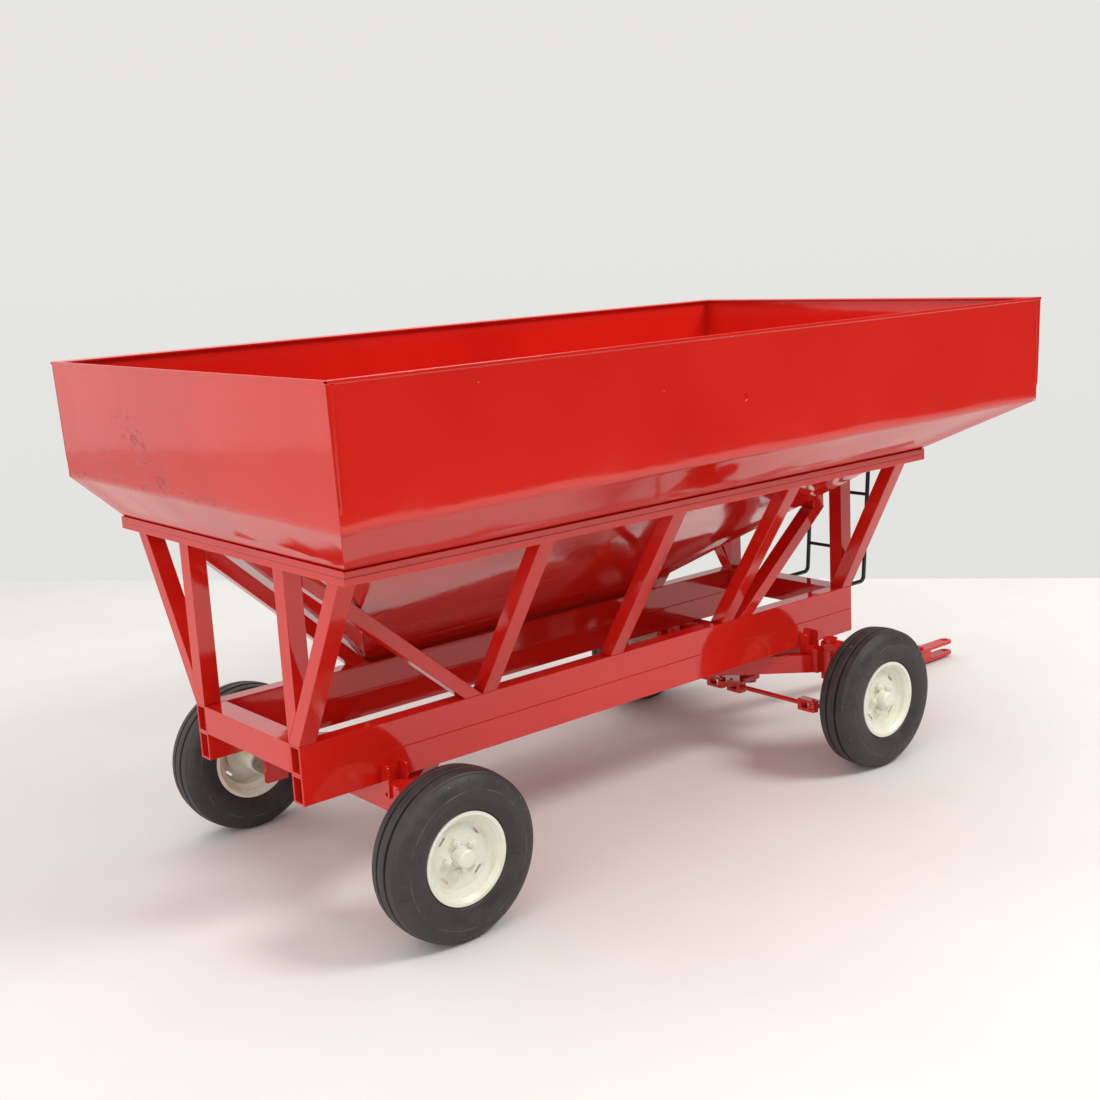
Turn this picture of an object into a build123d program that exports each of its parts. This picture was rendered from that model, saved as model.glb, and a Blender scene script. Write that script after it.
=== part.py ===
"""Scale gravity wagon: sheet grain box and hopper on a tube frame, four wheels, steered tongue, side gate.

Millimetres. +X points to the tongue, +Y to the discharge side, +Z up. The origin is on the floor,
on the centreline, halfway between the back of the box and the tip of the hitch.
"""

import os
from math import atan2, cos, degrees, hypot, pi, sin

from build123d import *

# ------------------------------------------------------------------ driving sizes
# Frame
sill_length = 548.2
frame_width = 141.0
tube_width = 12.7
tube_height = 20.0
tube_wall = 1.6
sill_bottom = 89.7
cross_depth = 16.5
post_size = 12.7
brace_run = 15.0

# Box, slope band and hopper
box_length = 677.6
box_width = 374.6
box_top = 368.9
fold_height = 285.1
wall_lean_end = 2.5
wall_lean_side = 1.2
rim_flange = 6.0
sheet = 1.2
box_rear_overhang = 28.9
rail_length = 546.9
rail_span = 301.6
rail_rear_inset = 23.9
rail_top = 255.8
rail_height = 9.0
rail_width = 19.0
rail_wall = 1.4
outlet_length = 286.0
outlet_rear_run = 124.1
outlet_right = 64.0
outlet_left = 82.0
peep_hole_radius = 2.5
peep_hole_ahead = 325.0
peep_hole_height = 325.0

# Side posts and diagonal braces
side_post_first = 153.1
side_post_pitch = 120.0
corner_head_y = 130.0
rear_head_inset = 11.35
front_head_inset = 0.05
rear_brace_drop = 15.1
crossbar_ahead = 506.8
crossbar_bottom = 205.0
brace_gap = 0.3

# Wheels
tyre_radius = 57.0
tyre_half_width = 16.5
tyre_wall = 4.0
tread_groove_depth = 3.4
rim_half_width = 13.5
rim_lip_radius = 31.0
bead_radius = 27.4
rim_sheet = 1.4
bead_ease = 1.6
lip_ease = 2.6
disc_face = 5.6
disc_sheet = 1.6
lug_circle_radius = 11.0
lug_count = 5
lug_flats = 5.2
lug_height = 3.2
stud_radius = 1.4
slot_count = 4
slot_radius = 18.6
spindle_radius = 5.0
running_gap = 0.05
track = 274.8
rear_axle_setback = 67.2
wheelbase = 425.9

# Axles, hounds and steering
kingpin_span = 184.0
kingpin_lead = 6.0
kingpin_radius = 4.0
boss_radius = 8.0
beam_end = 88.0
knuckle_half = 9.0
ear_thickness = 5.0
face_gap = 0.4
arm_back = 30.0
arm_out = 6.0
arm_half = 4.0
arm_bottom = 46.0
arm_thickness = 4.0
rod_radius = 2.0
link_pin_radius = 1.5
fork_ear = 2.5
fork_base = 9.5
yoke_hub_radius = 9.0
tongue_pin_ahead = 24.0
tongue_pin_drop = 9.7
tongue_pin_radius = 3.0

# Tongue and hitch
hitch_reach = 241.9
tongue_width = 13.0
tongue_height = 8.0
hitch_height = 10.0
plate_length = 70.0
plate_thickness = 3.0
tab_length = 32.0
hitch_bore_radius = 3.2
hitch_bolt_radius = 2.0
hitch_bolt_pitch = 12.0

# Discharge gate, rack, pinion and chute
door_half_width = 42.0
door_low = 8.0
door_high = 52.0
gate_lap = 4.5
gate_sheet = 1.6
gate_gap = 0.4
gate_top = 68.0
guide_width = 6.0
guide_top = 118.0
shaft_up = 62.0
module = 1.0
pinion_teeth = 12
rack_standoff = 11.0
rack_width = 5.0
gate_travel = 48.0
shaft_radius = 2.5
wheel_radius = 18.0
chute_run = 52.0
chute_drop = 36.0
chute_wall = 20.0

# Ladder
ladder_right = -63.0
ladder_left = 0.0
ladder_rod = 1.8
rung_rod = 1.5
ladder_ahead = 26.0
ladder_lean = 11.0
ladder_top = 262.0
rung_heights = (154.0, 204.0, 250.0)

# ------------------------------------------------------------------ places worked out from the sizes
overall_length = box_rear_overhang + sill_length + hitch_reach
box_rear = -overall_length / 2
box_front = box_rear + box_length
sill_rear = box_rear + box_rear_overhang
sill_front = sill_rear + sill_length
sill_outer = frame_width / 2
sill_mid = sill_outer - tube_width / 2
sill_top = sill_bottom + 2 * tube_height
rail_rear = box_rear + rail_rear_inset
rail_front = rail_rear + rail_length
rail_outer = rail_span / 2
rail_bottom = rail_top - rail_height
side_head_y = rail_outer - rail_width + post_size / 2
outlet_rear = rail_rear + rail_width + outlet_rear_run
outlet_front = outlet_rear + outlet_length
outlet_floor = sill_top + sheet
lip_bottom = rail_bottom + sheet
rear_axle = sill_rear + rear_axle_setback
front_axle = rear_axle + wheelbase
front_beam = front_axle - kingpin_lead
kingpin_y = kingpin_span / 2
wheel_y = track / 2
beam_bottom = sill_bottom - tube_height
tongue_pin_height = beam_bottom - tongue_pin_drop
arm_top = arm_bottom + arm_thickness
arm_middle = arm_bottom + arm_thickness / 2
tongue_pin = front_axle + tongue_pin_ahead
hitch_tip = overall_length / 2
hitch_bore = hitch_tip - tongue_width / 2
hitch_rear = hitch_tip - plate_length
post_rear = sill_rear + post_size / 2
post_front = sill_front - post_size / 2
post_ends = ((post_rear, rail_rear + rear_head_inset), (post_front, rail_front - front_head_inset))
crossbar_x = sill_rear + crossbar_ahead


# ------------------------------------------------------------------ small helpers
def save(piece, node):
    """Labels a finished piece and writes its STEP."""
    piece.part.label = node
    export_step(piece.part, f"parts/{node}.step")


def slab(points, low, high):
    """Adds a flat plate with the given outline, from low to high."""
    with BuildSketch(Plane.XY.offset(low)) as outline:
        Polygon(*points, align=None)
    extrude(outline.sketch, amount=high - low, dir=(0, 0, 1))


def frustum(low_points, low, high_points, high):
    """Adds a straight-sided solid between two outlines at two heights."""
    with BuildSketch(Plane.XY.offset(low)) as below:
        Polygon(*low_points, align=None)
    with BuildSketch(Plane.XY.offset(high)) as above:
        Polygon(*high_points, align=None)
    loft([below.sketch, above.sketch], ruled=True)


def rectangle_points(x, y, across_x, across_y):
    """Corners of a level rectangle, centred on x, y."""
    half_x, half_y = across_x / 2, across_y / 2
    return [(x - half_x, y - half_y), (x + half_x, y - half_y), (x + half_x, y + half_y), (x - half_x, y + half_y)]


def leaning_bar(foot, head, across_x=post_size, across_y=post_size):
    """Adds a bar with level ends between two centre points."""
    low = rectangle_points(foot[0], foot[1], across_x, across_y)
    high = rectangle_points(head[0], head[1], across_x, across_y)
    frustum(low, foot[2], high, head[2])


def rod(start, end, radius):
    """Adds a round rod between two points."""
    line = Vector(*end) - Vector(*start)
    with BuildSketch(Plane(origin=start, z_dir=tuple(line))) as section:
        Circle(radius)
    extrude(section.sketch, amount=line.length, dir=tuple(line))


def strip(side, rect, inset):
    """One side of a rectangular ring, mitred at its corners. rect is rear, front, right, left."""
    rear, front, right, left = rect
    in_rear, in_front = rear + inset["rear"], front - inset["front"]
    in_right, in_left = right + inset["right"], left - inset["left"]
    if side == "right":
        return [(rear, right), (front, right), (in_front, in_right), (in_rear, in_right)]
    if side == "left":
        return [(front, left), (rear, left), (in_rear, in_left), (in_front, in_left)]
    if side == "rear":
        return [(rear, left), (rear, right), (in_rear, in_right), (in_rear, in_left)]
    return [(front, right), (front, left), (in_front, in_left), (in_front, in_right)]


def level_thickness(low_rect, high_rect, rise):
    """Horizontal thickness that leaves each sloping side one sheet thick."""
    names = ("rear", "front", "right", "left")
    runs = [abs(high_rect[k] - low_rect[k]) for k in range(4)]
    return {name: sheet * hypot(run, rise) / rise for name, run in zip(names, runs)}


def even(value):
    """The same inset on all four sides."""
    return {"rear": value, "front": value, "right": value, "left": value}


# ------------------------------------------------------------------ frame
def build_sills():
    """Two rectangular tubes, one above the other, on each side."""
    for side, hand in (("right", -1), ("left", 1)):
        for level, base in (("lower", sill_bottom), ("upper", sill_bottom + tube_height)):
            plane = Plane(origin=(sill_rear, hand * sill_mid, base + tube_height / 2), x_dir=(0, 1, 0), z_dir=(1, 0, 0))
            with BuildPart() as sill:
                with BuildSketch(plane):
                    Rectangle(tube_width, tube_height)
                    Rectangle(tube_width - 2 * tube_wall, tube_height - 2 * tube_wall, mode=Mode.SUBTRACT)
                extrude(amount=sill_length)
            save(sill, f"sill_{side}_{level}")


def build_cross_members():
    """Bars across the frame, flush with the sill ends and tops."""
    half = frame_width / 2 - tube_width
    with BuildPart() as members:
        for rear in (sill_rear, sill_front - cross_depth):
            outline = [(rear, -half), (rear + cross_depth, -half), (rear + cross_depth, half), (rear, half)]
            slab(outline, sill_top - tube_height, sill_top)
    save(members, "end_cross_members")


def channel(side):
    """One rail: an upward-open channel, mitred at both ends."""
    outer = (rail_rear, rail_front, -rail_outer, rail_outer)
    far = rail_width - rail_wall
    inner = (rail_rear + far, rail_front - far, -rail_outer + far, rail_outer - far)
    slab(strip(side, outer, even(rail_width)), rail_bottom, rail_bottom + rail_wall)
    slab(strip(side, outer, even(rail_wall)), rail_bottom, rail_top)
    slab(strip(side, inner, even(rail_wall)), rail_bottom, rail_top)


def build_rails():
    """The ring that carries the box."""
    with BuildPart() as side_rails:
        channel("right")
        channel("left")
    save(side_rails, "side_rails")
    with BuildPart() as end_rails:
        channel("rear")
        channel("front")
    save(end_rails, "end_rails")


def build_posts():
    """Leaning side posts, leaning corner posts, and upright end posts trimmed to the corner posts."""
    with BuildPart() as side_posts:
        for k in range(3):
            x = sill_rear + side_post_first + k * side_post_pitch
            leaning_bar((x, -sill_mid, sill_top), (x, -side_head_y, rail_bottom))
    save(side_posts, "side_posts")
    with BuildPart() as corner_posts:
        for x, head in post_ends:
            head_x = min(head, rail_front - rail_width / 2)
            for hand in (-1, 1):
                leaning_bar((x, hand * sill_mid, sill_top), (head_x, hand * corner_head_y, rail_bottom))
    save(corner_posts, "corner_posts")
    with BuildPart() as end_posts:
        for x, head in post_ends:
            for hand in (-1, 1):
                leaning_bar((x, hand * sill_mid, sill_top), (head, hand * sill_mid, rail_bottom))
        add(corner_posts.part, mode=Mode.SUBTRACT)
    save(end_posts, "end_posts")


def build_braces():
    """Rear braces run up to the end posts, front braces up to the bar under the front slope."""
    wall = post_rear + post_size / 2 + brace_gap
    brace_rise = rail_bottom - sill_top - rear_brace_drop
    with BuildPart() as braces:
        rear_feet = ((-1, sill_rear + side_post_first - post_size / 2 - brace_gap), (1, outlet_rear - brace_gap))
        for hand, foot_front in rear_feet:
            foot_rear = foot_front - brace_run
            height = brace_run * brace_rise / (foot_rear - wall)
            outline = [
                (foot_rear, sill_top),
                (foot_front, sill_top),
                (wall, sill_top + brace_rise + height),
                (wall, sill_top + brace_rise),
            ]
            with BuildSketch(Plane.XZ.offset(-hand * sill_mid - post_size / 2)) as side_view:
                Polygon(*outline, align=None)
            extrude(side_view.sketch, amount=post_size, dir=(0, -1, 0))
        last_post = sill_rear + side_post_first + 2 * side_post_pitch
        front_feet = ((-1, last_post + post_size / 2 + brace_run), (1, outlet_front + brace_run))
        for hand, foot in front_feet:
            leaning_bar((foot, hand * sill_mid, sill_top), (crossbar_x, hand * sill_mid, crossbar_bottom), brace_run)
    save(braces, "diagonal_braces")
    with BuildPart() as crossbar:
        outline = rectangle_points(crossbar_x, 0, post_size, frame_width)
        slab(outline, crossbar_bottom, crossbar_bottom + post_size)
    save(crossbar, "brace_crossbar")


# ------------------------------------------------------------------ box and hopper
rim_rect = (box_rear, box_front, -box_width / 2, box_width / 2)
fold_rect = (
    box_rear + wall_lean_end,
    box_front - wall_lean_end,
    -box_width / 2 + wall_lean_side,
    box_width / 2 - wall_lean_side,
)
seat = rail_wall + 2 * running_gap
band_rect = (rail_rear + seat, rail_front - seat, -rail_outer + seat, rail_outer - seat)
throat_rect = (rail_rear + rail_width, rail_front - rail_width, rail_width - rail_outer, rail_outer - rail_width)
outlet_rect = (outlet_rear, outlet_front, outlet_right, outlet_left)


def build_box():
    """Four bent sheets: rim flange, wall, slope band and the ledge that laps the rail."""
    band_inset = level_thickness(band_rect, fold_rect, fold_height - rail_top)
    ledge = {
        "rear": throat_rect[0] - band_rect[0] + sheet,
        "front": band_rect[1] - throat_rect[1] + sheet,
        "right": throat_rect[2] - band_rect[2] + sheet,
        "left": band_rect[3] - throat_rect[3] + sheet,
    }
    sides = []
    for side in ("right", "left", "rear", "front"):
        with BuildPart() as panel:
            wall_low = strip(side, fold_rect, even(sheet))
            frustum(wall_low, fold_height, strip(side, rim_rect, even(sheet)), box_top)
            slab(strip(side, rim_rect, even(rim_flange)), box_top - sheet, box_top)
            band_low = strip(side, band_rect, band_inset)
            frustum(band_low, rail_top, strip(side, fold_rect, band_inset), fold_height)
            slab(strip(side, band_rect, ledge), rail_top, rail_top + sheet)
            if side == "right":
                hole_plane = Plane(
                    origin=(box_rear + peep_hole_ahead, -box_width / 2, peep_hole_height),
                    x_dir=(1, 0, 0),
                    z_dir=(0, -1, 0),
                )
                with BuildSketch(hole_plane):
                    Circle(peep_hole_radius)
                extrude(amount=4 * sheet, both=True, mode=Mode.SUBTRACT)
            if side in ("rear", "front"):
                add(sides, mode=Mode.SUBTRACT)
        if side in ("right", "left"):
            sides.append(panel.part)
        save(panel, f"box_{side}")


# The steep left side carries the door: its plane has +x to the rear, +y up the slope, +z outwards.
slope_run = throat_rect[3] - outlet_left
slope_rise = lip_bottom - outlet_floor
slope_angle = atan2(slope_rise, slope_run)
door_x = (outlet_rear + outlet_front) / 2
door_plane = Plane(
    origin=(door_x, outlet_left, outlet_floor),
    x_dir=(-1, 0, 0),
    z_dir=(0, sin(slope_angle), -cos(slope_angle)),
)


door_out = tuple(door_plane.z_dir)


def door_block(u_low, u_high, v_low, v_high, w_low, w_high, mode=Mode.ADD):
    """Adds a block in the door plane's own directions: rearwards, up the slope, outwards."""
    with BuildSketch(door_plane.offset(w_low)) as face:
        with Locations(((u_low + u_high) / 2, (v_low + v_high) / 2)):
            Rectangle(u_high - u_low, v_high - v_low)
    extrude(face.sketch, amount=w_high - w_low, dir=door_out, mode=mode)


def build_hopper():
    """Four sloping sheets down to a narrow floor that stands on the left sill."""
    inset = level_thickness(outlet_rect, throat_rect, slope_rise)
    for side in ("right", "left", "rear", "front"):
        with BuildPart() as panel:
            low = strip(side, outlet_rect, inset)
            frustum(low, outlet_floor, strip(side, throat_rect, inset), lip_bottom)
            slab(strip(side, throat_rect, even(sheet)), lip_bottom, rail_top)
            if side == "left":
                door_block(-door_half_width, door_half_width, door_low, door_high, -4 * sheet, sheet, Mode.SUBTRACT)
        save(panel, f"hopper_{side}")
    with BuildPart() as floor:
        middle_x, middle_y = (outlet_rear + outlet_front) / 2, (outlet_right + outlet_left) / 2
        slab(rectangle_points(middle_x, middle_y, outlet_length, outlet_left - outlet_right), sill_top, outlet_floor)
    save(floor, "hopper_floor")


# ------------------------------------------------------------------ gate
gate_half = door_half_width + gate_lap
gate_outer = gate_gap + gate_sheet
guide_inner = gate_half + gate_gap
guide_outer = guide_inner + guide_width
guide_step = gate_outer + gate_gap
cap_outer = guide_step + sheet
pitch_radius = module * pinion_teeth / 2
rack_pitch = gate_outer + rack_standoff
shaft_out = rack_pitch + pitch_radius
tooth_pitch = pi * module
addendum = 0.9 * module
dedendum = 1.25 * module
shaft_origin = door_plane.from_local_coords(Vector(0, shaft_up, shaft_out))
shaft_plane = Plane(origin=shaft_origin, x_dir=door_out, z_dir=(-1, 0, 0))
gate_bottom = door_low - gate_lap
bracket_width = 3.0
bracket_half = 5.0
shaft_rear_end = guide_outer + 36.0
wheel_hub_length = 7.0
pinion_length = 7.0


def build_gate_guides():
    """Two guide strips, a stop under the gate, and a bearing bracket on each guide."""
    with BuildPart() as guides:
        for hand in (-1, 1):
            inner, outer = sorted((hand * guide_inner, hand * guide_outer))
            door_block(inner, outer, 0, guide_top, 0, guide_step)
            lip_inner, lip_outer = sorted((hand * (gate_half - gate_lap / 2), hand * guide_outer))
            door_block(lip_inner, lip_outer, 0, guide_top, guide_step, cap_outer)
            low, high = sorted((hand * (guide_outer - bracket_width), hand * guide_outer))
            door_block(low, high, shaft_up - bracket_half, shaft_up + bracket_half, cap_outer, shaft_out + bracket_half)
        door_block(-guide_inner, guide_inner, gate_bottom - 2 * sheet, gate_bottom - gate_gap, 0, guide_step)
        with BuildSketch(shaft_plane):
            Circle(shaft_radius + running_gap)
        extrude(amount=2 * guide_outer, both=True, mode=Mode.SUBTRACT)
    save(guides, "gate_guides")


def build_gate():
    """The sliding plate with its raised rack."""
    with BuildPart() as gate:
        door_block(-gate_half, gate_half, gate_bottom, gate_top, gate_gap, gate_outer)
        half = rack_width / 2
        door_block(-half, half, gate_bottom + 1, gate_top, gate_outer, rack_pitch - dedendum)
        below = int((shaft_up - gate_bottom - 2) / tooth_pitch)
        above = int((gate_top - shaft_up) / tooth_pitch)
        root_half = 0.65 * module + 0.364 * dedendum
        tip_half = 0.65 * module - 0.364 * addendum
        rack_plane = Plane(
            origin=door_plane.from_local_coords(Vector(-half, 0, rack_pitch)),
            x_dir=door_out,
            z_dir=(-1, 0, 0),
        )
        with BuildSketch(rack_plane) as teeth:
            for k in range(-below, above + 1):
                along = -(shaft_up + k * tooth_pitch)
                Polygon(
                    (-dedendum - 0.1, along - root_half),
                    (addendum, along - tip_half),
                    (addendum, along + tip_half),
                    (-dedendum - 0.1, along + root_half),
                    align=None,
                )
        extrude(teeth.sketch, amount=rack_width, dir=(-1, 0, 0))
    save(gate, "gate")


def build_pinion_shaft():
    """Shaft along the wagon with the small gear that lifts the rack."""
    with BuildPart() as shaft:
        with BuildSketch(shaft_plane.offset(-guide_outer - bracket_width)):
            Circle(shaft_radius)
        extrude(amount=2 * guide_outer + bracket_width + 36.0)
        with BuildSketch(shaft_plane.offset(-pinion_length / 2)):
            Circle(pitch_radius - dedendum)
            step = 360 / pinion_teeth
            with PolarLocations(0, pinion_teeth, start_angle=step / 2):
                Polygon(
                    (pitch_radius - dedendum - 0.3, -0.9 * module),
                    (pitch_radius, -0.6 * module),
                    (pitch_radius + addendum, -0.32 * module),
                    (pitch_radius + addendum, 0.32 * module),
                    (pitch_radius, 0.6 * module),
                    (pitch_radius - dedendum - 0.3, 0.9 * module),
                    align=None,
                )
        extrude(amount=pinion_length)
    save(shaft, "pinion_shaft")


def build_hand_wheel():
    """Rim, four spokes and a hub on the rear end of the shaft."""
    rim_width = 2.6
    spoke_width = 2.4
    hub_radius = 5.0
    face = shaft_rear_end - wheel_hub_length
    with BuildPart() as wheel:
        with BuildSketch(shaft_plane.offset(face)):
            Circle(hub_radius)
        extrude(amount=wheel_hub_length)
        with BuildSketch(shaft_plane.offset(face + 2)):
            Circle(wheel_radius)
            Circle(wheel_radius - rim_width, mode=Mode.SUBTRACT)
            for turn in (0, 90):
                Rectangle(2 * wheel_radius - rim_width, spoke_width, rotation=turn)
        extrude(amount=3)
        with BuildSketch(shaft_plane.offset(face)):
            Circle(shaft_radius)
        extrude(amount=wheel_hub_length, mode=Mode.SUBTRACT)
    save(wheel, "hand_wheel")


def build_chute():
    """Open trough under the door, from the hopper floor outwards and down."""
    half = guide_outer + sheet
    low_y, low_z = outlet_left + chute_run, outlet_floor - chute_drop
    back_y = outlet_left + chute_wall / slope_rise * slope_run
    with BuildPart() as chute:
        plane = Plane(origin=(door_x - half, 0, 0), x_dir=(0, 1, 0), z_dir=(1, 0, 0))
        with BuildSketch(plane) as floor:
            Polygon(
                (outlet_left, outlet_floor),
                (outlet_left, outlet_floor - 1.5 * sheet),
                (low_y, low_z - 1.5 * sheet),
                (low_y, low_z),
                align=None,
            )
        extrude(floor.sketch, amount=2 * half, dir=(1, 0, 0))
        for start in (door_x - half - sheet, door_x + half):
            side_plane = Plane(origin=(start, 0, 0), x_dir=(0, 1, 0), z_dir=(1, 0, 0))
            with BuildSketch(side_plane) as wall:
                Polygon(
                    (outlet_left, outlet_floor - 1.5 * sheet),
                    (low_y, low_z - 1.5 * sheet),
                    (low_y, low_z + 0.7 * chute_wall),
                    (back_y, outlet_floor + chute_wall),
                    (outlet_left, outlet_floor),
                    align=None,
                )
            extrude(wall.sketch, amount=sheet, dir=(1, 0, 0))
    save(chute, "chute")


# ------------------------------------------------------------------ ladder
def build_ladder():
    """Two bent rods, butted to the front of the frame, that lean to the front slope, with rungs."""
    foot_z = sill_top - ladder_rod
    corner = sill_front + ladder_ahead
    bend = 5.0
    rails = []
    for y in (ladder_right, ladder_left):
        with BuildPart() as rail:
            with BuildLine() as path:
                FilletPolyline(
                    (sill_front, y, foot_z),
                    (corner, y, foot_z),
                    (corner + ladder_lean, y, ladder_top),
                    radius=bend,
                )
            with BuildSketch(Plane(origin=path.line @ 0, z_dir=path.line % 0)):
                Circle(ladder_rod)
            sweep()
        rails.append(rail.part)
    with BuildPart() as ladder:
        add(rails)
        for height in rung_heights:
            x = corner + ladder_lean * (height - foot_z) / (ladder_top - foot_z)
            rod((x, ladder_right, height), (x, ladder_left, height), rung_rod)
    save(ladder, "ladder")


# ------------------------------------------------------------------ axles and hounds
def build_rear_axle():
    """Tube under the sills with a drop plate at each end, and the two stub axles."""
    with BuildPart() as beam:
        slab(rectangle_points(rear_axle, 0, tube_width, 2 * beam_end), beam_bottom, sill_bottom)
        for hand in (-1, 1):
            middle = hand * (beam_end + arm_thickness / 2)
            slab(
                rectangle_points(rear_axle, middle, 2 * knuckle_half, arm_thickness),
                tyre_radius - knuckle_half,
                sill_bottom,
            )
    save(beam, "rear_axle_beam")
    with BuildPart() as spindles:
        for hand in (-1, 1):
            start = hand * (beam_end + arm_thickness)
            stub_axle(rear_axle, start, hand)
    save(spindles, "rear_spindles")


hub_inner = wheel_y - 25.0
spindle_tip = wheel_y + 11.0
collar_radius = 8.0


def stub_axle(x, start, hand):
    """Adds a collar and a stub axle from the plane y = start out to the wheel."""
    plane = Plane(origin=(x, start, tyre_radius), x_dir=(1, 0, 0), z_dir=(0, hand, 0))
    with BuildSketch(plane) as collar:
        Circle(collar_radius)
    extrude(collar.sketch, amount=hub_inner - face_gap - abs(start), dir=(0, hand, 0))
    with BuildSketch(plane) as spindle:
        Circle(spindle_radius)
    extrude(spindle.sketch, amount=spindle_tip - abs(start), dir=(0, hand, 0))


def build_front_axle():
    """Tube under the sills with a kingpin boss at each end and a bored pad for the yoke pin."""
    with BuildPart() as beam:
        slab(rectangle_points(front_beam, 0, tube_width, 2 * beam_end), beam_bottom, sill_bottom)
        with BuildSketch(Plane.XY.offset(beam_bottom)) as bosses:
            with Locations((front_axle, -kingpin_y), (front_axle, 0), (front_axle, kingpin_y)):
                Circle(boss_radius)
        extrude(bosses.sketch, amount=tube_height, dir=(0, 0, 1))
        with BuildSketch(Plane.XY.offset(beam_bottom)) as bores:
            with Locations((front_axle, -kingpin_y), (front_axle, 0), (front_axle, kingpin_y)):
                Circle(kingpin_radius)
        extrude(bores.sketch, amount=tube_height, dir=(0, 0, 1), mode=Mode.SUBTRACT)
    save(beam, "front_axle_beam")


def build_hounds():
    """Diagonal bars from the axle ends to the reach tube, and the reach tube between the axles."""
    reach_half = tube_width / 2
    thickness = 8.0
    spread = 66.0
    forward = spread + 6.0
    front_face = front_beam - tube_width / 2
    rear_face = rear_axle + tube_width / 2
    slant = thickness * hypot(spread, forward) / spread
    with BuildPart() as hounds:
        for face, way in ((front_face, -1), (rear_face, 1)):
            for hand in (-1, 1):
                tip_y = hand * reach_half
                root_y = hand * (reach_half + spread)
                wide_y = hand * (reach_half + spread + slant)
                outline = [(face, root_y), (face, wide_y), (face + way * (forward + slant), tip_y)]
                outline.append((face + way * forward, tip_y))
                slab(outline, beam_bottom, hound_top)
    save(hounds, "hounds")
    with BuildPart() as reach:
        plane = Plane(origin=(rear_face, 0, beam_bottom + tube_height / 2), x_dir=(0, 1, 0), z_dir=(1, 0, 0))
        with BuildSketch(plane):
            Rectangle(tube_width, tube_width)
            Rectangle(tube_width - 2 * tube_wall, tube_width - 2 * tube_wall, mode=Mode.SUBTRACT)
        extrude(amount=front_face - rear_face)
    save(reach, "reach_tube")


bracket_out = 8.0
bracket_top = sill_bottom + 12.5
bracket_long = sill_bottom - 10.5
bracket_short = sill_bottom - 4.6
bracket_hole = 1.6
hound_top = bracket_short - face_gap


def build_stake_brackets():
    """Channel clips on the outside of the sills over each axle: the ears straddle the axle tube."""
    ear_in = tube_width / 2 + running_gap
    with BuildPart() as brackets:
        for axle, long_way in ((rear_axle, -1), (front_beam, 1)):
            for hand in (-1, 1):
                face = hand * sill_outer
                back = rectangle_points(axle, face + hand * sheet / 2, 2 * (ear_in + tube_wall), sheet)
                slab(back, sill_bottom + running_gap, bracket_top - 3)
                for way, low in ((long_way, bracket_long), (-long_way, bracket_short)):
                    x = axle + way * (ear_in + tube_wall / 2)
                    plane = Plane(origin=(x - tube_wall / 2, face, 0), x_dir=(0, hand, 0), z_dir=(1, 0, 0))
                    with BuildSketch(plane) as ear:
                        upright = hand * 1.0
                        with Locations((bracket_out / 2, upright * (low + bracket_top) / 2)):
                            RectangleRounded(bracket_out, bracket_top - low, 2.5)
                        with Locations((sheet, upright * (low + bracket_top) / 2)):
                            Rectangle(2 * sheet, bracket_top - low)
                        if way == long_way:
                            with Locations((bracket_out / 2 + 0.6, upright * (low + 3.2))):
                                Circle(bracket_hole, mode=Mode.SUBTRACT)
                    extrude(ear.sketch, amount=tube_wall, dir=(1, 0, 0))
    save(brackets, "stake_brackets")


# ------------------------------------------------------------------ steering
def build_steering_pins():
    """Two kingpins and the yoke pin, each with a round head."""
    head = 3.0
    ear_bottom = beam_bottom - face_gap - ear_thickness
    ear_top = sill_bottom + face_gap + ear_thickness
    with BuildPart() as pins:
        for y, low, high in (
            (-kingpin_y, ear_bottom - 2, ear_top + face_gap),
            (0, arm_bottom - face_gap, sill_bottom),
            (kingpin_y, ear_bottom - 2, ear_top + face_gap),
        ):
            with BuildSketch(Plane.XY.offset(low)) as shank:
                with Locations((front_axle, y)):
                    Circle(kingpin_radius)
            extrude(shank.sketch, amount=high - low, dir=(0, 0, 1))
            top_head = high if y else low - head
            with BuildSketch(Plane.XY.offset(top_head)) as cap:
                with Locations((front_axle, y)):
                    Circle(kingpin_radius + 2)
            extrude(cap.sketch, amount=head, dir=(0, 0, 1))
    save(pins, "steering_pins")


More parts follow.
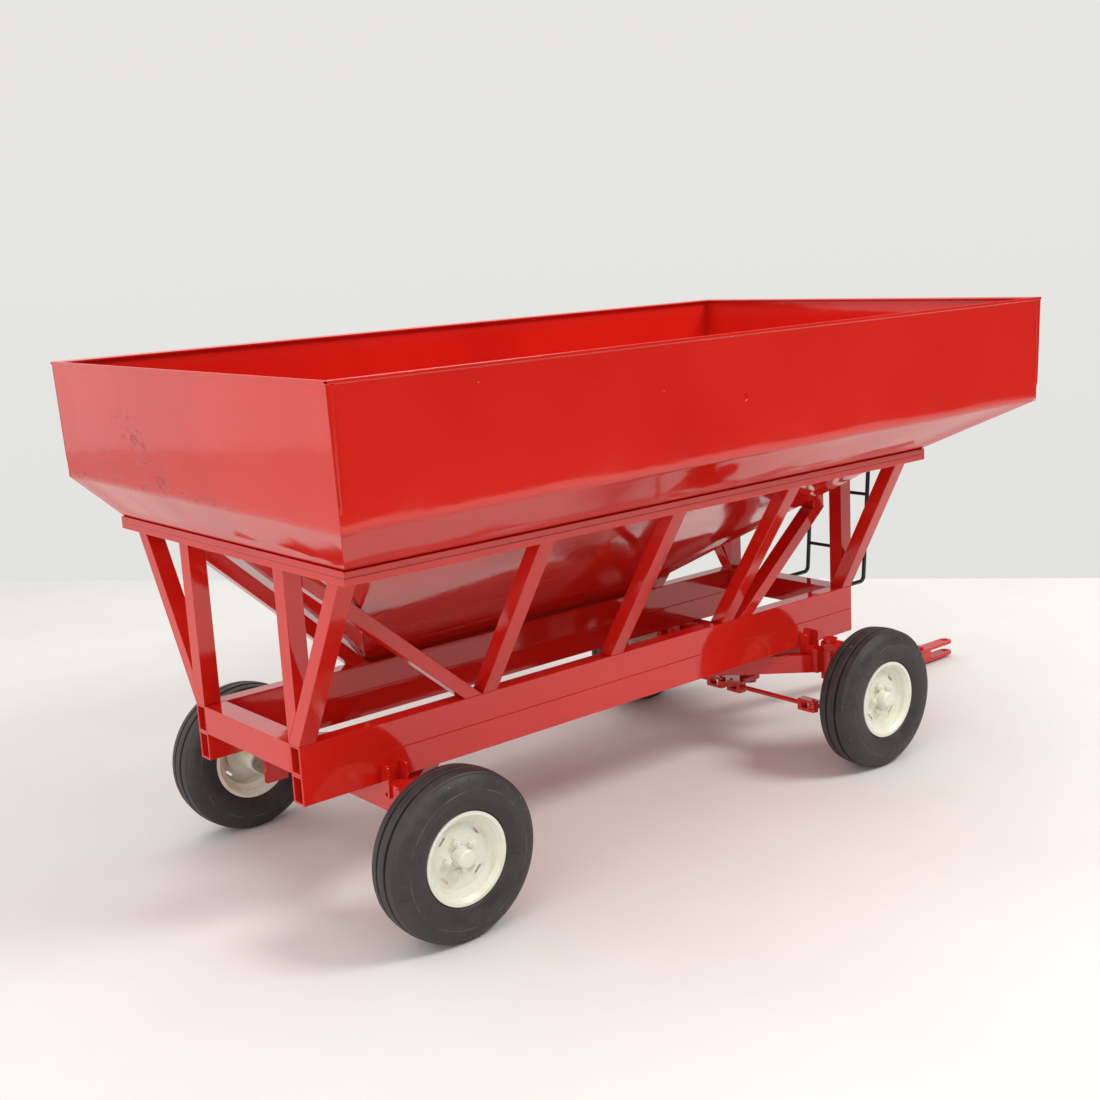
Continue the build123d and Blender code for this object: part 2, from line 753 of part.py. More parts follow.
def build_knuckle(side, hand):
    """Forked knuckle round the kingpin boss, with its stub axle and its steering arm behind."""
    inner = kingpin_y + boss_radius + 2
    outer = inner + ear_thickness
    low_ear = beam_bottom - face_gap - ear_thickness
    high_ear = sill_bottom + face_gap
    link = (front_axle - arm_back, hand * (kingpin_y + arm_out))
    with BuildPart() as knuckle:
        middle = hand * (inner + outer) / 2
        web = rectangle_points(front_axle, middle, 2 * knuckle_half, ear_thickness)
        slab(web, arm_bottom, high_ear + ear_thickness)
        for low in (low_ear, high_ear):
            with BuildSketch(Plane.XY.offset(low)) as ear:
                with Locations((front_axle, hand * kingpin_y)):
                    Circle(boss_radius)
                with Locations((front_axle, hand * (kingpin_y + outer) / 2)):
                    Rectangle(2 * boss_radius, outer - kingpin_y)
            extrude(ear.sketch, amount=ear_thickness, dir=(0, 0, 1))
        with BuildSketch(Plane.XY.offset(low_ear)) as bore:
            with Locations((front_axle, hand * kingpin_y)):
                Circle(kingpin_radius + running_gap)
        extrude(bore.sketch, amount=high_ear + ear_thickness - low_ear, dir=(0, 0, 1), mode=Mode.SUBTRACT)
        with BuildSketch(Plane.XY.offset(arm_bottom)) as arm:
            with Locations(link):
                Circle(arm_half)
            Polygon(
                (front_axle + knuckle_half, hand * outer),
                (front_axle - knuckle_half, hand * outer),
                (link[0], link[1] + hand * arm_half),
                (link[0], link[1] - hand * arm_half),
                (front_axle + knuckle_half, hand * inner),
                align=None,
            )
            with Locations(link):
                Circle(link_pin_radius + running_gap, mode=Mode.SUBTRACT)
        extrude(arm.sketch, amount=arm_thickness, dir=(0, 0, 1))
        stub_axle(front_axle, hand * outer, hand)
    save(knuckle, f"knuckle_{side}")


def build_tie_rod(side, hand):
    """Rod with a forked end and pin over the yoke at one end and over the knuckle arm at the other."""
    x = front_axle - arm_back
    ends = ((hand * arm_out, hand), (hand * (arm_out + kingpin_y), -hand))
    low_ear = arm_bottom - face_gap - fork_ear
    high_ear = arm_top + face_gap
    fork_length = fork_base + 4
    with BuildPart() as tie_rod:
        for y, way in ends:
            for low in (low_ear, high_ear):
                with BuildSketch(Plane.XY.offset(low)) as ear:
                    with Locations((x, y)):
                        Circle(arm_half)
                    with Locations((x, y + way * fork_length / 2)):
                        Rectangle(2 * arm_half, fork_length)
                extrude(ear.sketch, amount=fork_ear, dir=(0, 0, 1))
            base = rectangle_points(x, y + way * (fork_base + 2), 2 * arm_half, 4)
            slab(base, low_ear, high_ear + fork_ear)
            with BuildSketch(Plane.XY.offset(low_ear - 1)) as pin:
                with Locations((x, y)):
                    Circle(link_pin_radius)
            extrude(pin.sketch, amount=high_ear + fork_ear + 2 - low_ear, dir=(0, 0, 1))
        first, last = sorted((ends[0][0] + hand * fork_base, ends[1][0] - hand * fork_base))
        rod((x, first, arm_middle), (x, last, arm_middle), rod_radius)
    save(tie_rod, f"tie_rod_{side}")


def build_yoke():
    """Hub on the yoke pin, a plate behind for the tie rods and two ears ahead for the tongue."""
    hub_top = beam_bottom - face_gap
    ear_inner = tongue_width / 2 + face_gap
    ear_outer = ear_inner + arm_thickness
    ear_radius = 7.0
    with BuildPart() as yoke:
        with BuildSketch(Plane.XY.offset(arm_bottom)) as hub:
            with Locations((front_axle, 0)):
                Circle(yoke_hub_radius)
        extrude(hub.sketch, amount=hub_top - arm_bottom, dir=(0, 0, 1))
        with BuildSketch(Plane.XY.offset(arm_bottom)) as plate:
            back = front_axle - arm_back
            edge = arm_out + arm_half
            Polygon(
                (front_axle, -yoke_hub_radius),
                (front_axle, yoke_hub_radius),
                (back, edge),
                (back - arm_half, edge - arm_half),
                (back - arm_half, arm_half - edge),
                (back, -edge),
                align=None,
            )
            with Locations((back, -arm_out), (back, arm_out)):
                Circle(link_pin_radius + running_gap, mode=Mode.SUBTRACT)
        extrude(plate.sketch, amount=arm_thickness, dir=(0, 0, 1))
        for hand in (-1, 1):
            start = hand * ear_inner if hand > 0 else hand * ear_outer
            plane = Plane(origin=(0, start, 0), x_dir=(1, 0, 0), z_dir=(0, -1, 0))
            with BuildSketch(plane) as ear:
                with Locations((tongue_pin, tongue_pin_height)):
                    Circle(ear_radius)
                with Locations(((tongue_pin + front_axle) / 2, tongue_pin_height)):
                    Rectangle(tongue_pin - front_axle, 2 * ear_radius)
                with Locations((tongue_pin, tongue_pin_height)):
                    Circle(tongue_pin_radius, mode=Mode.SUBTRACT)
            extrude(ear.sketch, amount=arm_thickness, dir=(0, 1, 0))
        with BuildSketch(Plane.XY.offset(arm_bottom)) as bore:
            with Locations((front_axle, 0)):
                Circle(kingpin_radius + running_gap)
        extrude(bore.sketch, amount=hub_top - arm_bottom, dir=(0, 0, 1), mode=Mode.SUBTRACT)
    save(yoke, "steering_yoke")
    with BuildPart() as pin:
        reach = ear_outer + 3
        rod((tongue_pin, -reach, tongue_pin_height), (tongue_pin, reach, tongue_pin_height), tongue_pin_radius)
        for start in (-reach, ear_outer):
            rod(
                (tongue_pin, start, tongue_pin_height),
                (tongue_pin, start + 3, tongue_pin_height),
                tongue_pin_radius + 1.6,
            )
    save(pin, "tongue_pin")


# ------------------------------------------------------------------ tongue and hitch
def build_tongue():
    """Flat bar from the yoke down to the hitch, level where the hitch plates clamp it."""
    half = tongue_height / 2
    root = tongue_height * 0.85
    drop = tongue_pin_height - hitch_height
    run = hitch_rear - tongue_pin
    slant = hypot(run, drop)
    across = (half * drop / slant, half * run / slant)
    tab_end = hitch_rear + tab_length
    with BuildPart() as tongue:
        plane = Plane(origin=(0, tongue_width / 2, 0), x_dir=(1, 0, 0), z_dir=(0, -1, 0))
        with BuildSketch(plane) as side_view:
            with Locations((tongue_pin, tongue_pin_height)):
                Circle(root)
            Polygon(
                (tongue_pin + across[0], tongue_pin_height + across[1]),
                (tongue_pin - across[0], tongue_pin_height - across[1]),
                (hitch_rear, hitch_height - half),
                (tab_end, hitch_height - half),
                (tab_end, hitch_height + half),
                (hitch_rear + half / 2, hitch_height + half),
                align=None,
            )
            with Locations((tongue_pin, tongue_pin_height)):
                Circle(tongue_pin_radius + running_gap, mode=Mode.SUBTRACT)
        extrude(side_view.sketch, amount=tongue_width, dir=(0, -1, 0))
        with BuildSketch(Plane.XY) as bolt_holes:
            with Locations(*hitch_bolt_places()):
                Circle(hitch_bolt_radius)
        extrude(bolt_holes.sketch, amount=tongue_pin_height, dir=(0, 0, 1), mode=Mode.SUBTRACT)
    save(tongue, "tongue")


def hitch_bolt_places():
    """Centres of the two bolts that clamp the hitch plates to the tongue."""
    first = hitch_rear + tab_length / 2 - hitch_bolt_pitch / 2
    return [(first, 0), (first + hitch_bolt_pitch, 0)]


def build_hitch():
    """Upper and lower plates whose front ends are the hitch ears, and their two bolts."""
    half = tongue_height / 2
    with BuildPart() as plates:
        for low in (hitch_height - half - plate_thickness, hitch_height + half):
            with BuildSketch(Plane.XY.offset(low)) as plate:
                with Locations((hitch_bore, 0)):
                    Circle(tongue_width / 2)
                with Locations(((hitch_rear + 4 + hitch_bore) / 2, 0)):
                    Rectangle(hitch_bore - hitch_rear - 4, tongue_width)
                with Locations((hitch_bore, 0)):
                    Circle(hitch_bore_radius, mode=Mode.SUBTRACT)
                with Locations(*hitch_bolt_places()):
                    Circle(hitch_bolt_radius, mode=Mode.SUBTRACT)
            extrude(plate.sketch, amount=plate_thickness, dir=(0, 0, 1))
    save(plates, "hitch_plates")
    low = hitch_height - half - plate_thickness
    high = hitch_height + half + plate_thickness
    head = 2.6
    nut = 1.8
    with BuildPart() as bolts:
        for place in hitch_bolt_places():
            with BuildSketch(Plane.XY.offset(low - nut)) as shank:
                with Locations(place):
                    Circle(hitch_bolt_radius)
            extrude(shank.sketch, amount=high - low + nut + head, dir=(0, 0, 1))
            for start, height in ((low - nut, nut), (high, head)):
                with BuildSketch(Plane.XY.offset(start)) as hexagon:
                    with Locations(place):
                        RegularPolygon(hitch_bolt_radius * 1.9, 6)
                extrude(hexagon.sketch, amount=height, dir=(0, 0, 1))
    save(bolts, "hitch_bolts")


# ------------------------------------------------------------------ wheels
def build_tyre(plane, node):
    """Three-rib tyre: outline in radius and half width, mirrored, with a hollow inside."""
    groove = tyre_radius - tread_groove_depth
    shoulder = tyre_radius - 1.6
    bead_side = rim_half_width - rim_sheet - 0.1
    tread_half = 11.2
    with BuildPart() as tyre:
        with BuildSketch(plane):
            with BuildLine():
                Polyline(
                    (bead_radius + 0.1, 0),
                    (bead_radius + 0.1, bead_side - bead_ease),
                    (bead_radius + 0.1 + bead_ease, bead_side),
                    (rim_lip_radius + 0.2, bead_side),
                    (rim_lip_radius + 1.4, bead_side + 2.2),
                )
                ThreePointArc(
                    (rim_lip_radius + 1.4, bead_side + 2.2),
                    (43.5, tyre_half_width),
                    (tyre_radius - 4.6, tread_half + 2.6),
                )
                Polyline(
                    (tyre_radius - 4.6, tread_half + 2.6),
                    (shoulder, tread_half),
                    (shoulder + 0.9, tread_half - 4.6),
                    (groove, tread_half - 5.2),
                    (groove, 3.2),
                    (tyre_radius, 2.6),
                    (tyre_radius, 0),
                    (bead_radius + 0.1, 0),
                )
            make_face()
            with BuildLine():
                Polyline(
                    (bead_radius, 0),
                    (bead_radius, bead_side - tyre_wall),
                    (rim_lip_radius + 1.4, bead_side - tyre_wall + 0.8),
                )
                ThreePointArc(
                    (rim_lip_radius + 1.4, bead_side - tyre_wall + 0.8),
                    (43.0, tyre_half_width - tyre_wall),
                    (groove - tyre_wall, tread_half - 3.0),
                )
                Polyline((groove - tyre_wall, tread_half - 3.0), (groove - tyre_wall, 0), (bead_radius, 0))
            make_face(mode=Mode.SUBTRACT)
            mirror(about=Plane.XZ)
        revolve(axis=Axis(plane.origin, plane.y_dir))
    save(tyre, node)


def build_rim(plane, node):
    """Drop-centre rim with a recessed disc, lug holes and slots round the disc."""
    well = bead_radius - 3.9
    face = rim_half_width
    with BuildPart() as rim:
        with BuildSketch(plane):
            Polygon(
                (rim_lip_radius, -face),
                (rim_lip_radius, rim_sheet - face),
                (bead_radius + bead_ease, rim_sheet - face),
                (bead_radius, rim_sheet - face + bead_ease),
                (bead_radius, -7.0),
                (well, -5.0),
                (well, 5.0),
                (bead_radius, 7.0),
                (bead_radius, face - rim_sheet - bead_ease),
                (bead_radius + bead_ease, face - rim_sheet),
                (rim_lip_radius, face - rim_sheet),
                (rim_lip_radius, face),
                (bead_radius - rim_sheet + lip_ease, face),
                (bead_radius - rim_sheet, face - lip_ease),
                (bead_radius - rim_sheet, 7.8),
                (well - rim_sheet, 5.8),
                (well - rim_sheet, -5.8),
                (bead_radius - rim_sheet, -7.8),
                (bead_radius - rim_sheet, lip_ease - face),
                (bead_radius - rim_sheet + lip_ease, -face),
                align=None,
            )
            Polygon(
                (pilot_radius + running_gap, disc_face - disc_sheet),
                (well - rim_sheet / 2, disc_face - disc_sheet),
                (well - rim_sheet / 2, disc_face),
                (pilot_radius + running_gap, disc_face),
                align=None,
            )
        revolve(axis=Axis(plane.origin, plane.y_dir))
        disc_plane = Plane(origin=plane.origin, x_dir=plane.x_dir, z_dir=plane.y_dir)
        with BuildSketch(disc_plane.offset(disc_face)):
            with PolarLocations(lug_circle_radius, lug_count, start_angle=90):
                Circle(stud_radius)
            with PolarLocations(slot_radius, slot_count, start_angle=45):
                SlotCenterToCenter(5.0, 1.8, rotation=90)
        extrude(amount=-2 * disc_sheet, mode=Mode.SUBTRACT)
    save(rim, node)


pilot_radius = 7.0
cap_radius = 6.2
flange_radius = 15.0


def build_hub(plane, node):
    """Hub turned in one piece with its closed cap; the bore runs on the stub axle."""
    inner = hub_inner - wheel_y
    flange = disc_face - disc_sheet
    bore_end = spindle_tip - wheel_y + face_gap
    bore = spindle_radius + running_gap
    cap_end = rim_half_width + 1.0
    with BuildPart() as hub:
        with BuildSketch(plane):
            Polygon(
                (bore, inner),
                (9.0, inner),
                (9.0, flange - 3.0),
                (flange_radius, flange - 3.0),
                (flange_radius, flange),
                (pilot_radius, flange),
                (pilot_radius, disc_face + 1.0),
                (cap_radius, disc_face + 1.4),
                (cap_radius, cap_end - 1.2),
                (cap_radius - 1.2, cap_end),
                (0, cap_end),
                (0, bore_end),
                (bore, bore_end),
                align=None,
            )
        revolve(axis=Axis(plane.origin, plane.y_dir))
        hub_plane = Plane(origin=plane.origin, x_dir=plane.x_dir, z_dir=plane.y_dir)
        with BuildSketch(hub_plane.offset(flange)):
            with PolarLocations(lug_circle_radius, lug_count, start_angle=90):
                Circle(stud_radius)
        extrude(amount=-3.0, mode=Mode.SUBTRACT)
    save(hub, node)


def build_lug_nuts(plane, node):
    """Five studs, each with a hexagon nut on the disc."""
    hub_plane = Plane(origin=plane.origin, x_dir=plane.x_dir, z_dir=plane.y_dir)
    with BuildPart() as nuts:
        with BuildSketch(hub_plane.offset(disc_face - disc_sheet - 3.0)):
            with PolarLocations(lug_circle_radius, lug_count, start_angle=90):
                Circle(stud_radius)
        extrude(amount=disc_sheet + 3.0 + lug_height + 0.8)
        with BuildSketch(hub_plane.offset(disc_face)):
            with PolarLocations(lug_circle_radius, lug_count, start_angle=90):
                RegularPolygon(lug_flats / 2, 6, major_radius=False)
        extrude(amount=lug_height)
    save(nuts, node)


def build_wheels():
    """Four equal wheels. Each profile plane has +x as radius (up) and +y out of the wagon."""
    for end, x in (("rear", rear_axle), ("front", front_axle)):
        for side, hand in (("right", -1), ("left", 1)):
            plane = Plane(origin=(x, hand * wheel_y, tyre_radius), x_dir=(0, 0, 1), z_dir=(-hand, 0, 0))
            build_tyre(plane, f"tyre_{end}_{side}")
            build_rim(plane, f"rim_{end}_{side}")
            build_hub(plane, f"hub_{end}_{side}")
            build_lug_nuts(plane, f"lug_nuts_{end}_{side}")


# ------------------------------------------------------------------ all pieces
os.makedirs("parts", exist_ok=True)
build_sills()
build_cross_members()
build_rails()
build_posts()
build_braces()
build_box()
build_hopper()
build_gate_guides()
build_gate()
build_pinion_shaft()
build_hand_wheel()
build_chute()
build_ladder()
build_rear_axle()
build_front_axle()
build_hounds()
build_stake_brackets()
build_steering_pins()
for side, hand in (("right", -1), ("left", 1)):
    build_knuckle(side, hand)
    build_tie_rod(side, hand)
build_yoke()
build_tongue()
build_hitch()
build_wheels()
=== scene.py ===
"""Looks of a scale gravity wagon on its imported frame: enamelled sheet box and hopper on tube sills,
ribbed tyres on cream rims, a black rod ladder and a pale studio. Metres, in the part's own frame."""

import bpy
import numpy as np
from mathutils import Matrix, Vector


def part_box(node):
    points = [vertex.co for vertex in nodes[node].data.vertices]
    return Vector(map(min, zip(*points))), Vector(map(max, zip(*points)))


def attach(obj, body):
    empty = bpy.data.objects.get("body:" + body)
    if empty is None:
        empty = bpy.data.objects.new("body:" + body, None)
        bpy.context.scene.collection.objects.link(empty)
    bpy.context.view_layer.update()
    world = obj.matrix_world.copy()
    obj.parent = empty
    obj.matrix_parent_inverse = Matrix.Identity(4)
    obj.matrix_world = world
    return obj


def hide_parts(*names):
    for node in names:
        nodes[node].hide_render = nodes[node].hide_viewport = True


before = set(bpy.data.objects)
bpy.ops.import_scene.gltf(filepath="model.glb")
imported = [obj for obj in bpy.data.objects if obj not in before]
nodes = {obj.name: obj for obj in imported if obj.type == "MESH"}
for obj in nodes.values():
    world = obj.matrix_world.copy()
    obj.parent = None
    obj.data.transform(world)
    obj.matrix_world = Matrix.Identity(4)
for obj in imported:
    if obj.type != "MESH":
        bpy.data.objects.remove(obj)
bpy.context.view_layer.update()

# ------------------------------------------------------------------ sizes, in metres
SHEET = 0.0012            # wall of the bent sheets
HEM_SHOWS = 0.00055       # how far the rim hem stands out from the wall
HEM_DEPTH = 0.0022
RIM_DROP = 0.0008         # how much lower the rim flange's inner edge is
RAIL_LIP = 0.0040         # how far below the rails' top the fine groove runs; its darker colour is a painted shadow line
RIM_FLANGE = 0.006
FOLD_HEIGHT = 0.2851      # where the wall folds in to the slope band
WALL_LEAN_END, WALL_LEAN_SIDE = 0.0025, 0.0012
BAND = (-0.3841, 0.1598, -0.1493, 0.1493)       # foot of the slope band: rear, front, right, left
THROAT = (-0.3666, 0.1423, -0.1318, 0.1318)     # lip of the hopper
OUTLET = (-0.2425, 0.0435, 0.0640, 0.0820)      # narrow floor of the hopper
LIP_FOOT, OUTLET_HEIGHT = 0.2480, 0.1309
PEEP_HOLE = (-0.0845, 0.3250, 0.0025)           # x, z and radius of the hole in the right wall
LAP_SHARE = 0.46          # how far down the right hopper sheet its two halves lap
TYRE_RADIUS = 0.057
RING_RADIUS = 0.0454      # raised line on the tyre's side
SHOULDER_LINES = 30       # short grooves round each shoulder
SIDE_STARTS = 0.0525      # radius inside which the tyre's side begins

box_low, box_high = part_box("box_right")
RIM = (box_low.x, box_high.x, box_low.y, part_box("box_left")[1].y)
RIM_TOP, RAIL_TOP = box_high.z, box_low.z


# ------------------------------------------------------------------ surfaces as whole arrays
def smooth(value, low, high):
    """0 below low, 1 above high, and 3t2 - 2t3 in between."""
    share = np.clip((value - low) / (high - low), 0.0, 1.0)
    return share * share * (3.0 - 2.0 * share)


def ripple(along, down, longest, shortest, seed, spread=1.0, count=14):
    """Sum of sine waves with wavelengths between shortest and longest, weighted by wavelength and scaled to 0..1.
    Below 1, spread keeps the waves' crests closer to the down direction."""
    draw = np.random.default_rng(seed)
    length = np.exp(draw.uniform(np.log(shortest), np.log(longest), count))
    turn = draw.uniform(-np.pi / 2, np.pi / 2, count) * spread
    shift = draw.uniform(0.0, 2.0 * np.pi, count)
    across = along[..., None] * np.cos(turn) + down[..., None] * np.sin(turn)
    waves = np.sin(2.0 * np.pi * across / length + shift)
    return 0.5 + 0.5 * (waves * length).sum(-1) / length.sum()


def rounded_run(keys, eases, steps):
    """Rows along straight runs between key rows. An ease (before, after) replaces its corner by a parabola that
    leaves the run that share before the key and joins the next run that share after it."""
    keys = np.asarray(keys, float)
    eases = [(0.0, 0.0), *eases, (0.0, 0.0)]
    curve = np.linspace(0.0, 1.0, 8)[1:-1, None]
    rows = []
    for i in range(len(keys) - 1):
        here, there = keys[i], keys[i + 1]
        share = np.linspace(eases[i][1], 1.0 - eases[i + 1][0], steps[i] + 1)[:, None]
        rows.append(here + (there - here) * share)
        if i + 2 < len(keys) and max(eases[i + 1]) > 0.0:
            leave, join = rows[-1][-1], there + (keys[i + 2] - there) * eases[i + 1][1]
            rows.append((1 - curve) ** 2 * leave + 2 * curve * (1 - curve) * there + curve**2 * join)
    rows = np.concatenate(rows)
    apart = np.abs(np.diff(rows, axis=0)).max(1) > 1e-7
    return rows[np.concatenate([[True], apart])]


def with_rows(rows, path, extra):
    """The same profile with extra rows at the given distances along its path, by straight interpolation."""
    wanted = np.union1d(path, extra)
    return np.stack([np.interp(wanted, path, rows[:, k]) for k in range(rows.shape[1])], -1), wanted


def grid_quads(rows, columns, ring_rows=False, ring_columns=False):
    """Corner numbers of the quads between neighbouring grid points; a ring joins its last points to its first."""
    r = np.arange(rows if ring_rows else rows - 1)
    c = np.arange(columns if ring_columns else columns - 1)
    r, c = (a.ravel() for a in np.meshgrid(r, c, indexing="ij"))
    r2, c2 = (r + 1) % rows, (c + 1) % columns
    return np.stack([r * columns + c, r * columns + c2, r2 * columns + c2, r2 * columns + c], -1)


def make_piece(name, points, quads, body, finish, stands_for=(), centre=(0.0, 0.0, 0.0), uv=None):
    """A mesh from whole arrays, turned to face away from centre, riding on its body."""
    points, quads = points.reshape(-1, 3), quads.reshape(-1, 4)
    a, b, c, d = (points[quads[:, k]] for k in range(4))
    if (np.cross(c - a, d - b) * (a - np.asarray(centre))).sum() < 0.0:
        quads = quads[:, ::-1]
        uv = None if uv is None else uv[:, ::-1]
    used, quads = np.unique(quads, return_inverse=True)
    points, quads = points[used], quads.reshape(-1, 4)
    mesh = bpy.data.meshes.new(name)
    mesh.vertices.add(len(points))
    mesh.vertices.foreach_set("co", points.astype(np.float32).ravel())
    mesh.loops.add(quads.size)
    mesh.loops.foreach_set("vertex_index", quads.astype(np.int32).ravel())
    mesh.polygons.add(len(quads))
    mesh.polygons.foreach_set("loop_start", np.arange(0, quads.size, 4, dtype=np.int32))
    mesh.polygons.foreach_set("use_smooth", np.ones(len(quads), bool))
    if uv is not None:
        layer = mesh.uv_layers.new(name="turn_and_radius")
        layer.data.foreach_set("uv", uv.astype(np.float32).ravel())
    mesh.update(calc_edges=True)
    mesh.validate()
    mesh.materials.append(finish)
    piece = bpy.data.objects.new(name, mesh)
    bpy.context.scene.collection.objects.link(piece)
    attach(piece, body)
    if stands_for:
        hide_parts(*stands_for)
    return piece


def thicken(piece, thickness, edge):
    """Gives a sheet its wall, inwards, with slightly broken edges and flat-faced shading."""
    wall = piece.modifiers.new("wall", "SOLIDIFY")
    wall.thickness, wall.offset, wall.use_even_offset, wall.use_rim = thickness, -1.0, True, True
    soften(piece, edge, 50.0)


def soften(piece, edge, angle=35.0):
    """Broken edges on corners sharper than angle, then normals weighted by face area."""
    bevel = piece.modifiers.new("broken_edges", "BEVEL")
    bevel.width, bevel.segments, bevel.limit_method = edge, 2, "ANGLE"
    bevel.angle_limit = np.radians(angle)
    even = piece.modifiers.new("even_shading", "WEIGHTED_NORMAL")
    even.keep_sharp = True


# ------------------------------------------------------------------ shader maths
class Value:
    """A socket inside a finish. Arithmetic on it adds Math nodes."""

    def __init__(self, finish, socket):
        self.finish, self.socket = finish, socket

    def math(self, operation, *terms):
        return self.finish.node("ShaderNodeMath", {"operation": operation}, dict(enumerate(terms)))

    def __add__(self, other):
        return self.math("ADD", self, other)

    def __sub__(self, other):
        return self.math("SUBTRACT", self, other)

    def __rsub__(self, other):
        return self.math("SUBTRACT", other, self)

    def __mul__(self, other):
        return self.math("MULTIPLY", self, other)

    def __truediv__(self, other):
        return self.math("DIVIDE", self, other)

    def __pow__(self, other):
        return self.math("POWER", self, other)

    def __abs__(self):
        return self.math("ABSOLUTE", self)

    def __gt__(self, other):
        return self.math("GREATER_THAN", self, other)

    def __lt__(self, other):
        return self.math("LESS_THAN", self, other)

    __radd__, __rmul__ = __add__, __mul__


class Finish:
    """A node tree being made up into a finish."""

    def __init__(self, tree):
        self.tree = tree
        tree.nodes.clear()

    def node(self, kind, settings=None, inputs=None, output=0):
        """Adds a node: its settings first, then the values or links of its sockets. Gives one of its outputs."""
        made = self.tree.nodes.new(kind)
        for name, value in (settings or {}).items():
            if name == "stops":
                elements = made.color_ramp.elements
                elements[1].position, elements[1].color = value[-1]
                elements[0].position, elements[0].color = value[0]
                for place, colour in value[1:-1]:
                    elements.new(place).color = colour
            else:
                setattr(made, name, value)
        for name, value in (inputs or {}).items():
            if isinstance(value, Value):
                self.tree.links.new(value.socket, made.inputs[name])
            else:
                made.inputs[name].default_value = value
        return Value(self, made.outputs[output]) if len(made.outputs) else None

    def place(self, stretch=(1.0, 1.0, 1.0), turn=(0.0, 0.0, 0.0)):
        """Where on the object, stretched and turned."""
        spot = self.node("ShaderNodeTexCoord", output="Object")
        return self.node("ShaderNodeMapping", inputs={"Vector": spot, "Scale": stretch, "Rotation": turn})

    def noise(self, where, scale, detail=3.0, rough=0.5):
        """Soft random field around 0.5."""
        sockets = {"Vector": where, "Scale": scale, "Detail": detail, "Roughness": rough}
        return self.node("ShaderNodeTexNoise", inputs=sockets)

    def specks(self, where, per_metre, radius, share):
        """1 in small round specks: one in some cells of a random lattice."""
        cell = {"Vector": where, "Scale": per_metre}
        near = self.node("ShaderNodeTexVoronoi", inputs=cell)
        pick = self.node("ShaderNodeTexVoronoi", inputs=cell, output="Color")
        chosen = self.node("ShaderNodeSeparateColor", inputs={0: pick}) > 1.0 - share
        return (1.0 - self.ramp(near, 0.6 * radius * per_metre, radius * per_metre)) * chosen

    def ramp(self, value, low, high):
        """0 at low, 1 at high, eased."""
        sockets = {"Value": value, "From Min": low, "From Max": high}
        return self.node("ShaderNodeMapRange", {"interpolation_type": "SMOOTHSTEP"}, sockets)

    def tint(self, mask, under, over):
        """The under colour where mask is 0 and the over colour where it is 1."""
        return self.node("ShaderNodeMix", {"data_type": "RGBA"}, {0: mask, 6: under, 7: over}, output=2)

    def bump(self, height, distance, strength=1.0, normal=None):
        sockets = {"Height": height, "Distance": distance, "Strength": strength}
        if normal is not None:
            sockets["Normal"] = normal
        return self.node("ShaderNodeBump", inputs=sockets)


def make_finish(name, build):
    """A new material whose surface is what build(finish) gives as Principled sockets."""
    material = bpy.data.materials.new(name)
    material.use_nodes = True
    finish = Finish(material.node_tree)
    surface = finish.node("ShaderNodeBsdfPrincipled", inputs=build(finish))
    finish.node("ShaderNodeOutputMaterial", inputs={"Surface": surface})
    return material


RED = (0.63, 0.0150, 0.0080, 1.0)
DEEP_RED = (0.40, 0.006, 0.005, 1.0)


def red_enamel(scuffed=False, seam=None):
    """Gloss red enamel sprayed by hand: broad colour drift, orange peel, sags, dust nibs and a few marks. A seam
    height adds a groove there, darkened in colour as a painted shadow line.
    """

    def build(f):
        where = f.place()
        drift = f.noise(where, 9.0, 2.0)
        peel = f.noise(where, 420.0, 2.0)
        sag = f.noise(where, 46.0, 3.0)
        haze = f.noise(where, 21.0, 4.0, 0.6)
        nibs = f.specks(where, 75.0, 0.00042, 0.10)
        hairs = f.noise(f.place((30.0, 30.0, 420.0), (0.5, 0.3, 0.0)), 1.0, 5.0, 0.7)
        marks = f.ramp(hairs, 0.70, 0.74) * f.ramp(haze, 0.52, 0.62)
        colour = f.tint(f.ramp(drift, 0.35, 0.75), RED, (0.57, 0.0115, 0.0065, 1.0))
        colour = f.tint(marks * 0.6, colour, DEEP_RED)
        colour = f.tint(nibs * 0.7, colour, (0.78, 0.42, 0.38, 1.0))
        rough = 0.07 + 0.06 * f.ramp(haze, 0.4, 0.8) + 0.25 * marks + 0.3 * nibs
        height = peel * 0.12 + sag * 1.0 + nibs * 2.0 - marks * 0.8
        if scuffed:
            at = f.node("ShaderNodeSeparateXYZ", inputs={0: where}, output="Y")
            up = f.node("ShaderNodeSeparateXYZ", inputs={0: where}, output="Z")
            astray = abs(at - 0.052 - (up - 0.312) * 1.35)
            between = f.ramp(up, 0.284, 0.290) * (1.0 - f.ramp(up, 0.330, 0.342))
            patch = (1.0 - f.ramp(astray, 0.006, 0.030)) * between
            low = (1.0 - f.ramp(abs(up - 0.2885), 0.001, 0.0045)) * f.ramp(at, -0.12, -0.02)
            broken = f.ramp(f.noise(f.place((1.0, 60.0, 150.0), (0.6, 0.0, 0.0)), 1.6, 6.0, 0.75), 0.53, 0.60)
            scuff = f.node("ShaderNodeMath", {"operation": "MAXIMUM"}, {0: patch, 1: low * 0.9}) * broken
            colour = f.tint(scuff * 0.75, colour, DEEP_RED)
            rough = rough + 0.45 * scuff
            height = height - scuff * 1.2
        # painted shadow line: the groove along the rails is darkened in colour, standing in for the shade under
        # the rail's lip
        if seam is not None:
            up = f.node("ShaderNodeSeparateXYZ", inputs={0: where}, output="Z")
            groove = 1.0 - f.ramp(abs(up - seam), 0.00015, 0.0005)
            colour = f.tint(groove * 0.8, colour, DEEP_RED)
            height = height - groove * 4.0
        return {
            "Base Color": colour,
            "Roughness": rough,
            "IOR": 1.52,
            "Coat Weight": 0.25,
            "Coat Roughness": 0.03,
            "Normal": f.bump(height, 0.00016, 0.9),
        }

    return build


